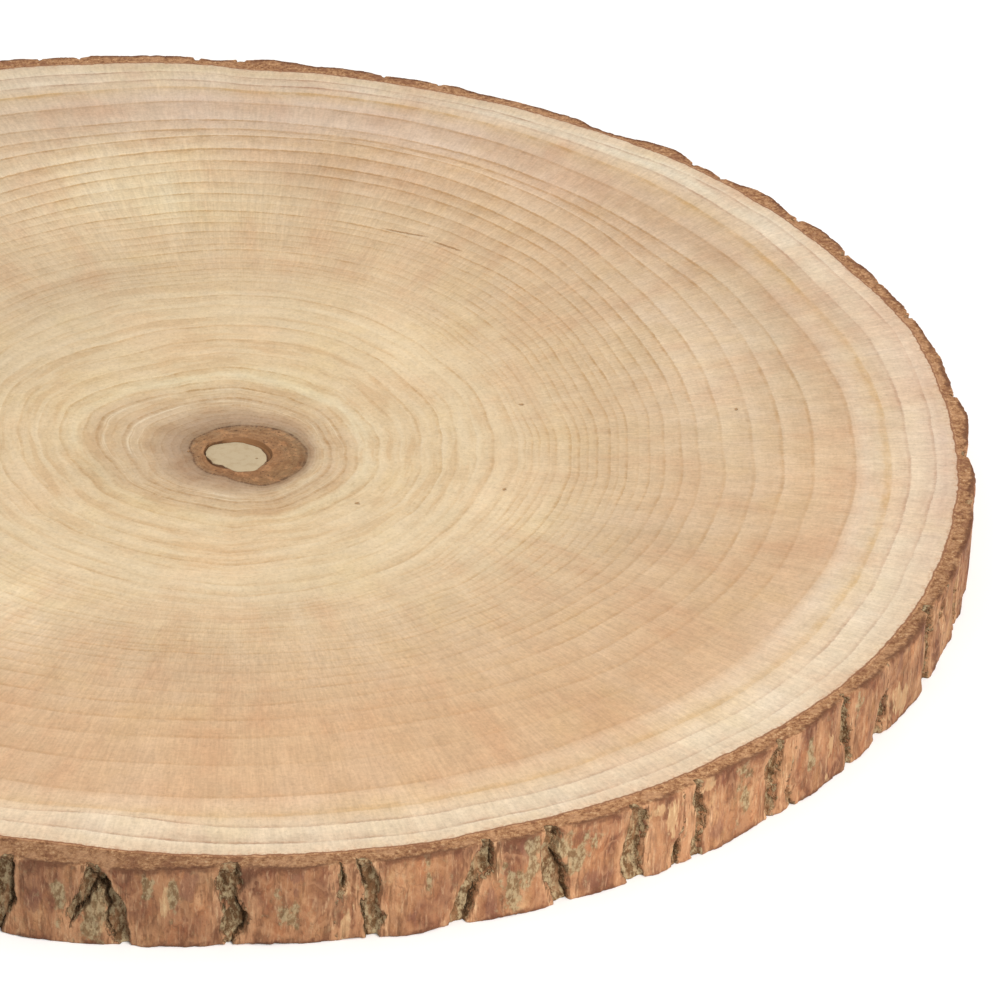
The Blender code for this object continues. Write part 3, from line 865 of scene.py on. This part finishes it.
# %% [markdown]
# ## Building materials from nodes
#
# Node trees written one link at a time are hard to read. Here a node's output can be added and
# multiplied like a number, and a finish lays its colour on coat by coat, so that a material reads like
# a recipe. Scales of noise are per metre.

# %% Node helpers
LIGHT_LEVEL = 1.17


def linear(red, green, blue):
    """A colour given as it looks on a screen in this scene's light, 0 to 255, as the share of light
    that the surface gives back: linear values, divided by the level of the light."""
    screen = np.array([red, green, blue]) / 255
    value = np.where(screen <= 0.04045, screen / 12.92, ((screen + 0.055) / 1.055) ** 2.4)
    return (*(value / LIGHT_LEVEL).tolist(), 1.0)


def math_node(operation, swapped=False):
    """A method that makes a math node from a value and another."""
    def method(self, other=0.0):
        a, b = (other, self) if swapped else (self, other)
        return self.finish.math(operation, a, b)
    return method


class Value:
    """A node's output. Sums and products of values are nodes in turn."""

    def __init__(self, finish, socket):
        self.finish = finish
        self.socket = socket

    __add__ = math_node("ADD")
    __sub__ = math_node("SUBTRACT")
    __rsub__ = math_node("SUBTRACT", swapped=True)
    __mul__ = math_node("MULTIPLY")
    __truediv__ = math_node("DIVIDE")
    __abs__ = math_node("ABSOLUTE")

    def between(self, low, high, at_low=0.0, at_high=1.0):
        """The value brought smoothly from one range to another, and kept within it."""
        inputs = {"Value": self, "From Min": low, "From Max": high, "To Min": at_low, "To Max": at_high}
        return self.finish.make("ShaderNodeMapRange", inputs, interpolation_type="SMOOTHSTEP")


class Finish:
    """A material, with a short call for each kind of node that is used here."""

    def __init__(self, name):
        self.material = bpy.data.materials.new(name)
        self.material.use_nodes = True
        self.tree = self.material.node_tree
        self.shader = self.tree.nodes["Principled BSDF"]
        self.colour = None

    def put(self, socket, value):
        """Links a socket to a value, or sets it to a plain one."""
        if isinstance(value, Value):
            self.tree.links.new(value.socket, socket)
        else:
            socket.default_value = value

    def node(self, kind, inputs, **settings):
        """A node with its settings, and its inputs by name or number."""
        made = self.tree.nodes.new(kind)
        for key, value in settings.items():
            setattr(made, key, value)
        for key, value in inputs.items():
            self.put(made.inputs[key], value)
        return made

    def make(self, kind, inputs, output=0, **settings):
        """The value of one output of such a node."""
        return Value(self, self.node(kind, inputs, **settings).outputs[output])

    @cached_property
    def place(self):
        return self.make("ShaderNodeTexCoord", {}, "Object")

    def attribute(self, name, output="Fac"):
        return self.make("ShaderNodeAttribute", {}, output, attribute_name=name)

    def math(self, operation, a, b=0.0):
        return self.make("ShaderNodeMath", {0: a, 1: b}, operation=operation)

    def vector(self, operation, a, b, output=0):
        return self.make("ShaderNodeVectorMath", {0: a, 1: b}, output, operation=operation)

    def noise(self, scale, detail=3.0, roughness=0.55, stretch=(1, 1, 1), vector=None):
        """Fractal noise of a vector, or of the place on the object, stretched along its axes."""
        vector = self.vector("MULTIPLY", vector or self.place, stretch)
        inputs = {"Vector": vector, "Scale": scale, "Detail": detail, "Roughness": roughness}
        return self.make("ShaderNodeTexNoise", inputs, "Fac")

    def mix(self, amount, a, b, blend="MIX"):
        """A colour mixed with another. One given by three numbers is as it looks on a screen."""
        a, b = (linear(*c) if isinstance(c, tuple) and len(c) == 3 else c for c in (a, b))
        inputs = {0: amount, 6: a, 7: b}
        return self.make("ShaderNodeMix", inputs, 2, data_type="RGBA", blend_type=blend)

    def lay(self, amount, colour):
        """Lays a coat of a colour over the finish, as thick as the amount."""
        self.colour = self.mix(amount, self.colour, colour)

    def tint(self, amount, gain):
        """Multiplies the finish by a gain in red, green and blue."""
        gain = gain if isinstance(gain, Value) else (*gain, 1)
        self.colour = self.mix(amount, self.colour, gain, "MULTIPLY")

    def brighten(self, gain):
        self.colour = self.make("ShaderNodeHueSaturation", {"Color": self.colour, "Value": gain})

    def ramp(self, value, stops):
        """A colour ramp through stops, each a place and a colour as it looks on a screen."""
        made = self.node("ShaderNodeValToRGB", {"Fac": value})
        elements = made.color_ramp.elements
        while len(elements) < len(stops):
            elements.new(1.0)
        for element, (place, colour) in zip(elements, stops):
            element.position = place
            element.color = linear(*colour)
        return Value(self, made.outputs["Color"])

    def done(self, roughness, specular, height=None, distance=0.0):
        """The material with its roughness and shine, and relief of a height times a distance in m."""
        inputs = {"Base Color": self.colour, "Roughness": roughness, "Specular IOR Level": specular}
        if height:
            relief = {"Height": height, "Distance": distance, "Strength": 1.0}
            inputs["Normal"] = self.make("ShaderNodeBump", relief)
        for key, value in inputs.items():
            self.put(self.shader.inputs[key], value)
        return self.material


# %% [markdown]
# ## The finish of the wood
#
# Sanded, unvarnished pale wood: a brown core round a pale pith, honey-coloured heartwood, a tan zone
# and cream sapwood under the bark. The ground colour is a ramp over the share of the way to the bark,
# tinted by the soft patches. On it lie the ring lines, sharp on their outer side and fading inwards.
# Short fibres run outwards, cells and pores speckle everything, and blushes of pink and yellow drift
# over it. Next to the bark a ragged brown line is drawn where the distance to the edge, plus noise, is
# small.

# %% Colours of the wood, as they look on a screen
GROUND = (
    (0.000, (160, 112, 76)), (0.052, (164, 122, 82)), (0.060, (164, 126, 87)), (0.074, (162, 127, 91)),
    (0.078, (170, 141, 111)), (0.090, (182, 153, 123)), (0.104, (196, 168, 135)),
    (0.112, (212, 185, 150)), (0.119, (209, 182, 146)), (0.126, (208, 180, 144)),
    (0.135, (218, 192, 155)), (0.147, (212, 184, 146)), (0.154, (218, 190, 151)),
    (0.172, (227, 205, 166)), (0.200, (225, 199, 159)), (0.330, (228, 204, 166)),
    (0.400, (225, 198, 160)), (0.430, (221, 192, 154)), (0.448, (225, 198, 160)),
    (0.470, (219, 190, 152)), (0.600, (218, 186, 149)), (0.750, (217, 184, 148)),
    (0.855, (219, 185, 149)), (0.870, (226, 195, 161)), (0.903, (226, 196, 160)),
    (0.915, (233, 206, 172)), (0.950, (235, 212, 180)), (1.000, (234, 210, 178)),
)
# Thin pale rings around the core: the share of the way to the bark.
PALE_RINGS = (0.113, 0.121, 0.143)
PALE_RING = (236, 216, 182)
PITH_FLOOR = (197, 177, 143)
PITH_SHADE = (176, 150, 113)
# Painted shade at the foot of the pith's crevice; the same dark colour also flecks the core.
CREVICE_SHADE_AND_CORE_FLECKS = (92, 60, 34)
# The brown of the hollow's wall, which darkens to the painted shade towards the crevice's foot.
CREVICE_WALL = (140, 98, 60)
CORE_STREAK = (138, 96, 58)
CORE_LIGHT = (196, 144, 98)
EDGE_SPECKLE = (200, 152, 116)
EDGE_LINE = (152, 104, 70)
MARK = (160, 114, 64)
SAWN_LIGHT = (208, 160, 120)
SAWN_DARK = (138, 90, 64)
SAWN_GRAINS = (
    (0.34, (112, 72, 44)), (0.43, (150, 104, 70)), (0.52, (181, 133, 93)),
    (0.60, (204, 158, 115)), (0.70, (240, 206, 166)),
)
# Small dark marks: direction from the pith in degrees, share of the way to the bark, radius in mm.
SPECKS = (
    (-15, 0.381, 0.6), (19, 0.41, 0.6), (-40, 0.215, 0.7),
    (10, 0.705, 0.6), (176, 0.060, 0.5), (-22, 0.027, 0.45),
)
# A fine drying crack along a ring: middle in mm, direction in degrees, half its length in mm.
CRACKS = (((52.0, 83.5), 158, 6.5), ((61.5, 77.0), 143, 5.0))
CRACK_BOW = 6.0


def marks(finish):
    """How strongly a point lies on one of the small dark marks: 1 on a speck or crack, 0 elsewhere."""
    ragged = finish.noise(1500, 2).between(0.2, 0.8, -0.0003, 0.0003)
    flat = finish.vector("MULTIPLY", finish.place, (1, 1, 0))
    total = 0.0
    for direction, share, size in SPECKS:
        far = share * float(reach(np.array([[direction * DEGREE]]))[0, 0])
        x = PITH[0] + SHIFT[0] + far * math.cos(direction * DEGREE)
        y = PITH[1] + SHIFT[1] + far * math.sin(direction * DEGREE)
        spot = finish.vector("DISTANCE", flat, (x * MM, y * MM, 0), "Value") + ragged
        total = finish.math("MAXIMUM", total, spot.between(size * MM, size * MM * 0.3))
    for (x, y), direction, half_length in CRACKS:
        away = finish.vector("SUBTRACT", finish.place, ((x + SHIFT[0]) * MM, (y + SHIFT[1]) * MM, 0))
        way = (math.cos(direction * DEGREE), math.sin(direction * DEGREE), 0)
        along = abs(finish.vector("DOT_PRODUCT", away, way, "Value"))
        across = finish.vector("DOT_PRODUCT", away, (-way[1], way[0], 0), "Value")
        across = across + finish.math("POWER", along, 2.0) * CRACK_BOW + ragged * 0.6
        line = abs(across).between(0.0005, 0.0001)
        line = line * along.between(half_length * MM, half_length * MM * 0.5)
        total = finish.math("MAXIMUM", total, line)
    return total


def sawn_bark(finish):
    """The granular colour of sawn bark. Both materials use it, so that the wood's lap over the bark
    takes up the same grains and no seam shows between the two."""
    colour = finish.ramp(finish.noise(950, 5, 0.78), SAWN_GRAINS)
    spots = finish.noise(260)
    colour = finish.mix(spots.between(0.5, 0.68, 0, 0.5), colour, SAWN_LIGHT)
    return finish.mix(spots.between(0.48, 0.32, 0, 0.6), colour, SAWN_DARK)


# %% The wood's material
def wood_material():
    finish = Finish("sanded_wood")
    lay, tint, mix, noise = finish.lay, finish.tint, finish.mix, finish.noise
    attribute = finish.attribute
    share = attribute("share")
    grain = attribute("grain", "Vector")

    def rays(stretch, detail=2, roughness=0.55):
        """Noise that follows the grain: two directions round the pith, then the way to the bark."""
        return noise(1.0, detail, roughness, stretch, grain)

    grit = noise(1800, 2, 0.6)
    finish.colour = finish.ramp(share, GROUND)
    tint(1.0, attribute("tint", "Color"))

    core = share.between(0.079, 0.073)
    lay(core * rays((2.5, 2.5, 260), 4, 0.7).between(0.45, 0.65, 0, 0.7), CORE_STREAK)
    mottles = noise(480, 5, 0.7)
    lay(core * mottles.between(0.5, 0.64, 0, 0.6), CORE_LIGHT)
    lay(core * mottles.between(0.47, 0.36, 0, 0.6), CORE_STREAK)
    # Dark flecks in the core, in the colour of the crevice's painted shade.
    lay(core * noise(1300, 2).between(0.62, 0.70, 0, 0.7), CREVICE_SHADE_AND_CORE_FLECKS)

    count = finish.math("FRACT", attribute("ring"))
    spacing, width, strength = (attribute(name) for name in ("spacing", "width", "strength"))
    jitter = rays((170, 170, 60)).between(0.2, 0.8, -0.14, 0.14)
    before = ((1 - count) * spacing + jitter) / width
    after = (count * spacing - jitter) / width
    line = finish.math("MAXIMUM", before.between(0.1, 1.9, 1, 0), before.between(0, 9, 0.46, 0))
    line = finish.math("MAXIMUM", line, after.between(0, 0.55, 1, 0))
    broken = rays((24, 24, 50), 4, 0.7).between(0.3, 0.7, 0.3, 1)
    broken = broken * rays((4, 4, 12)).between(0.35, 0.62, 0.55, 1.08) * strength
    line = line * broken
    tint(line, attribute("line", "Color"))
    tint(after.between(0.6, 5, 1, 0) * broken, (1.04, 1.06, 1.09))
    for number, ring in enumerate(PALE_RINGS, 1):
        shown = rays((1.6, 1.6, 200 * number)).between(0.46, 0.66)
        lay(abs(share - ring).between(0.0032, 0.0006) * shown * 0.6, PALE_RING)

    blush = noise(45, 5, 0.65)
    tint(blush.between(0.5, 0.68, 0, 0.55), (1.0, 0.93, 0.90))
    tint(blush.between(0.5, 0.32, 0, 0.5), (0.99, 0.98, 0.88))
    outer = share.between(0.22, 0.55)
    inner = 1 - outer
    bands = rays((2.2, 2.2, 62), 4, 0.6)
    tint(inner * bands.between(0.5, 0.62), (0.93, 0.88, 0.83))
    tint(inner * bands.between(0.49, 0.38), (1.03, 1.05, 1.09))
    sectors = mix(outer, (0.5, 0.5, 0.5, 1), rays((9, 9, 5), 4, 0.6))
    tint(sectors.between(0.5, 0.66), (0.97, 0.92, 0.90))
    tint(sectors.between(0.5, 0.35), (1.03, 1.05, 1.09))
    strokes = rays((250, 250, 40)).between(0.3, 0.7, 0.935, 1.05)
    strokes = strokes * rays((110, 110, 9), 3, 0.6).between(0.3, 0.7, 0.965, 1.03)
    value = rays((7, 7, 240), 3).between(0.3, 0.7, 0.975, 1.02) * (strokes * outer + inner)
    value = value * noise(1000, 2, 0.7).between(0.3, 0.7, 0.94, 1.05)
    value = value * noise(200, 5, 0.65).between(0.3, 0.7, 0.95, 1.04)
    finish.brighten(value * grit.between(0.25, 0.5, 0.90, 1.02))

    ragged = noise(420, 5, 0.6).between(0.3, 0.7, -0.17, 0.17)
    edge = attribute("inside") + ragged + EDGE_SHIFT
    speckle = noise(1300, 2).between(0.5, 0.64, 0, 0.55)
    lay(speckle * edge.between(1.8, 0.2), EDGE_SPECKLE)
    lay(edge.between(0.4, 0.1), EDGE_LINE)
    lay(edge.between(0, -0.2), sawn_bark(finish))

    worn = noise(500, 4, 0.6).between(0.45, 0.7, 0, 0.5)
    ragged = noise(600).between(0.3, 0.7, -0.12, 0.12)
    from_floor = attribute("from_floor") + ragged
    # The hollow's wall, darkening to painted shade where it meets the pith's floor.
    crevice = mix(from_floor.between(0.9, 0.1), CREVICE_WALL, CREVICE_SHADE_AND_CORE_FLECKS)
    lay((attribute("from_hollow") + ragged).between(0.3, -0.1), crevice)
    lay(from_floor.between(0.15, -0.15), mix(worn, PITH_FLOOR, PITH_SHADE))
    mark = marks(finish)
    lay(mark * 0.75, MARK)
    return finish.done(0.6, 0.3, grit + line * -1.5 + mark * -4.0, 0.00004)


wood.data.materials.append(wood_material())

# %% [markdown]
# ## The finish of the bark
#
# Young bark is reddish brown, streaked upwards, with purplish and grey-green patches. The slopes into
# a furrow are fresh and tan. Its floor is rough, with grey and brown flakes, and its cracks are painted
# dark brown as shade, as are the steps where scales flaked off. The sawn band on top is granular, and
# the rim is darker just under its edge, over the plates.

# %% Colours of the bark, as they look on a screen
BARK_GROUND = (
    (0.32, (114, 74, 54)), (0.42, (142, 94, 68)), (0.50, (164, 114, 80)),
    (0.58, (178, 126, 88)), (0.68, (208, 160, 118)),
)
STREAK, WISP = (226, 184, 142), (116, 77, 54)
FINE_LINE, GRIT = (106, 70, 48), (104, 72, 52)
# The second is painted shade along the steps where scales flaked off.
SCALE_FACE, SCALE_STEP_SHADE = (206, 156, 116), (116, 78, 56)
# Pairs of a darker and a lighter tone.
DARK_PATCH = ((134, 90, 72), (176, 128, 100))
PALE_PATCH = ((206, 166, 122), (228, 198, 150))
LICHEN = ((118, 98, 66), (182, 166, 128))
SLOPE = ((202, 152, 112), (230, 188, 144))
FLOOR_FLAKES = ((108, 80, 50), (190, 170, 132))
# The last is painted shade for the narrow cracks along the furrow floors.
SLOPE_FIBRE, FLOOR_BROWN, CRACK_SHADE = (116, 82, 54), (160, 114, 78), (96, 70, 44)
# The first is the dark line just under the rim's sawn edge, over the plates.
UNDER_EDGE_DARK, INNER_BARK = (104, 64, 44), (172, 120, 88)


# %% The bark's material
def bark_material():
    finish = Finish("bark")
    lay, tint, mix, noise = finish.lay, finish.tint, finish.mix, finish.noise
    attribute = finish.attribute
    streaks = noise(1500, 3, 0.65, (1, 1, 0.18))
    wisps = noise(480, 4, 0.65, (1, 1, 0.18))
    grit = noise(1900, 2)
    ragged = noise(700, 3, 0.6)

    finish.colour = finish.ramp(noise(150, 6, 0.66, (1, 1, 0.6)), BARK_GROUND)
    hue = noise(230, 4, 0.6, (1, 1, 0.5))
    tint(hue.between(0.5, 0.66), (1.04, 0.93, 0.88))
    tint(hue.between(0.5, 0.34), (0.98, 1.03, 1.0))
    lighter = streaks.between(0.5, 0.72)
    lay(lighter * 0.4, STREAK)
    lay(wisps.between(0.48, 0.34, 0, 0.6), WISP)
    lay(noise(950, 2, 0.6, (1, 1, 0.12)).between(0.42, 0.33, 0, 0.4), FINE_LINE)
    lay(grit.between(0.36, 0.26, 0, 0.5), GRIT)
    level = finish.math("FRACT", attribute("scales"))
    lay(level.between(0.5, 0.9, 0, 0.3), SCALE_FACE)
    # A thin painted shade along each step of the flaked scales.
    step = abs(level - 0.5).between(0.08, 0.02) * ragged.between(0.45, 0.6)
    lay(step * 0.4, SCALE_STEP_SHADE)
    fray = (wisps + streaks).between(0.8, 1.2, -0.35, 0.35)
    dark = (attribute("dark") + fray).between(0.15, 0.75, 0, 0.6)
    lay(dark, mix(lighter, *DARK_PATCH))
    pale = (attribute("pale") + fray).between(0.25, 0.7, 0, 0.75)
    lay(pale, mix(lighter, *PALE_PATCH))

    gap = attribute("gap") + ragged.between(0.2, 0.8, -0.7, 0.7)
    slope = gap.between(0.6, 3.2, 1, 0) * wisps.between(0.35, 0.6)
    fibres = noise(1250, 2, 0.6, (1, 1, 0.1)).between(0.47, 0.38, 0, 0.85)
    lay(slope * 0.85, mix(fibres, mix(lighter, *SLOPE), SLOPE_FIBRE))

    crumbs = noise(520, 5, 0.75, (1, 1, 0.7))
    flaky = noise(1000, 3, 0.7, (1, 1, 0.6))
    lichen = (attribute("grey") + crumbs.between(0.3, 0.7, -0.5, 0.5)).between(0.2, 0.8, 0, 0.72)
    lay(lichen, mix(flaky.between(0.4, 0.6), *LICHEN))

    from_edge = attribute("from_edge")
    lay(from_edge.between(-0.4, 0.2), sawn_bark(finish))
    # A dark line just under the sawn edge, over the plates and not the furrows.
    under_edge = from_edge + ragged.between(0.2, 0.8, -0.6, 0.6)
    under_edge = under_edge.between(-1.6, -0.2) * under_edge.between(1.2, 0.2) * gap.between(1.2, 4.5)
    lay(under_edge * 0.75, UNDER_EDGE_DARK)
    inner = attribute("from_wood") + grit.between(0.2, 0.8, -0.5, 0.5)
    lay(inner.between(1.2, 0.4, 0, 0.5), INNER_BARK)

    floor = gap.between(0.15, -0.2)
    flakes = flaky * 0.6 + crumbs * 0.4
    bottom = mix(flakes.between(0.44, 0.58), *FLOOR_FLAKES)
    bottom = mix(wisps.between(0.48, 0.64, 0, 0.6), bottom, FLOOR_BROWN)
    lay(floor * 0.9, bottom)
    # Painted shade in the narrow cracks along the furrow floors.
    crack = attribute("crack") + grit.between(0.2, 0.8, -0.2, 0.2)
    lay(crack.between(0.42, 0.12, 0, 0.9), CRACK_SHADE)
    # The bark's own tone round the rim, with painted shade where the rim turns from the lamp.
    finish.brighten(attribute("tone_and_shade"))
    return finish.done(0.85, 0.2, streaks * 0.8 + grit * 0.5 + ragged * floor * 2.0, 0.0003)


bark_finish = bark_material()
for piece in barks:
    piece.data.materials.append(bark_finish)

# %% [markdown]
# ## Everything rides on the one body
#
# The slice has no joints. Each piece moves with the body "root", and the wood stands for the solid,
# which is then not shown.

# %% Tie the pieces to the frame
for piece in (wood, *barks):
    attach(piece, "root")
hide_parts("wood_slice")

# %% [markdown]
# ## Floor, light and camera
#
# The slice lies on a white ground in soft light that comes from everywhere, with a little more from
# the front right. The world gives most of it, so that the slice is lit well from every side, and one
# large lamp gives the relief of the bark its shape.

# %% Floor and light
FLOOR_SIZE = 20000.0
FLOOR_GREY = 0.97
WORLD_STRENGTH = 0.62
LAMP_PLACE = (1.6, -2.4, 2.8)
LAMP_SIZE = 2.0
LAMP_WATTS = 145.0
LAMP_COLOUR = (1.0, 0.965, 0.93)


def white_floor():
    half = FLOOR_SIZE / 2
    corners = np.array([[-half, -half, 0], [half, -half, 0], [half, half, 0], [-half, half, 0]], float)
    made = new_piece("floor", corners, np.array([[0, 1, 2, 3]]))
    finish = Finish("white_ground")
    finish.colour = (FLOOR_GREY, FLOOR_GREY, FLOOR_GREY, 1)
    made.data.materials.append(finish.done(0.9, 0.0))
    made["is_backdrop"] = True


def soft_light():
    world = bpy.data.worlds.new("white surroundings")
    world.use_nodes = True
    light = world.node_tree.nodes["Background"].inputs
    light["Color"].default_value = (1, 1, 1, 1)
    light["Strength"].default_value = WORLD_STRENGTH
    bpy.context.scene.world = world
    data = bpy.data.lights.new("soft lamp", "AREA")
    data.energy = LAMP_WATTS
    data.size = LAMP_SIZE
    data.color = LAMP_COLOUR
    lamp = added("soft lamp", data)
    lamp.location = LAMP_PLACE
    lamp.rotation_euler = (-lamp.location).to_track_quat("-Z", "Y").to_euler()
    bpy.context.scene.view_settings.view_transform = "Standard"


white_floor()
soft_light()

# %% The camera
CAMERA_PLACE = (0.27, -1005.75, 597.73)
CAMERA_AZIMUTH = 3.999 * DEGREE
CAMERA_DOWN = 30.844 * DEGREE
CAMERA_ROLL = 2.017 * DEGREE
CAMERA_LENS = 191.43


def camera():
    """A long lens that looks down on the slice: its direction from the azimuth and the tilt, its right
    and up from that direction, turned by a small roll."""
    az, down, roll = CAMERA_AZIMUTH, CAMERA_DOWN, CAMERA_ROLL
    forward = np.array([math.sin(az) * math.cos(down), math.cos(az) * math.cos(down), -math.sin(down)])
    level = np.array([math.cos(az), -math.sin(az), 0.0])
    upright = np.cross(level, forward)
    right = math.cos(roll) * level + math.sin(roll) * upright
    up = -math.sin(roll) * level + math.cos(roll) * upright
    place = (np.array(CAMERA_PLACE) + np.array([*SHIFT, 0])) * MM
    data = bpy.data.cameras.new("camera")
    data.lens = CAMERA_LENS
    data.sensor_width = 36.0
    matrix = np.eye(4)
    matrix[:3] = np.stack([right, up, -forward, place], 1)
    bpy.context.scene.camera = added("camera", data)
    bpy.context.scene.camera.matrix_world = Matrix(matrix.tolist())


camera()

# %% Sizes, and the end
visual_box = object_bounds()
sizes = {"cad": [list(corner) for corner in cad_box], "visual": [list(corner) for corner in visual_box]}
print("visual box", sizes["visual"])
